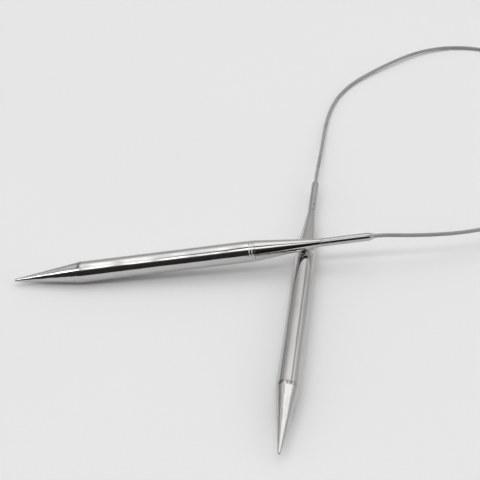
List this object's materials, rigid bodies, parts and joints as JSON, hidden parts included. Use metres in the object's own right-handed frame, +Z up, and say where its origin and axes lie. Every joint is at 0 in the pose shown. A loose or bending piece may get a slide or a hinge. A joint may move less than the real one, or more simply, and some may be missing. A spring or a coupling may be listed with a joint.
{
  "type": "circular knitting needle",
  "caption": "Circular knitting needle: two polished steel tips that swivel on the ends of one flexible coated cable.",
  "frame": {"origin": "On the table, under the middle of the box round the two crossed needles, cable left out", "axes": "+Z up from the table. +X to the right, towards the cable's side of needle A. +Y away from needle B's point, roughly along needle B"},
  "size_m": [0.219, 0.2212, 0.0119],
  "materials": {
    "polished_steel": "mirror polished stainless steel",
    "join_steel": "polished turned stainless steel",
    "cable_nylon": "smooth translucent nylon over grey steel strand",
    "strand_steel": "bare twisted wire"
  },
  "bodies": {
    "cable_and_ferrules": {"cable_jacket": "cable_nylon", "cable_core": "strand_steel", "cable_ferrule_a": "join_steel", "swivel_pin_a": "join_steel", "cable_ferrule_b": "join_steel", "swivel_pin_b": "join_steel"},
    "needle_a": {"needle_shaft_a": "polished_steel", "rear_cone_a": "polished_steel", "swivel_collar_a": "join_steel"},
    "needle_b": {"needle_shaft_b": "polished_steel", "rear_cone_b": "polished_steel", "swivel_collar_b": "join_steel"}
  },
  "joints": [
    {"name": "swivel_a", "type": "hinge", "parent": "cable_and_ferrules", "child": "needle_a", "pos_m": [-0.05846, 0.00805, 0.00183], "axis": [0.9922, 0.0985, 0.0758], "continuous": true},
    {"name": "swivel_b", "type": "hinge", "parent": "cable_and_ferrules", "child": "needle_b", "pos_m": [0.02469, -0.05842, 0.00347], "axis": [0.1495, 0.9888, 0], "continuous": true}
  ]
}
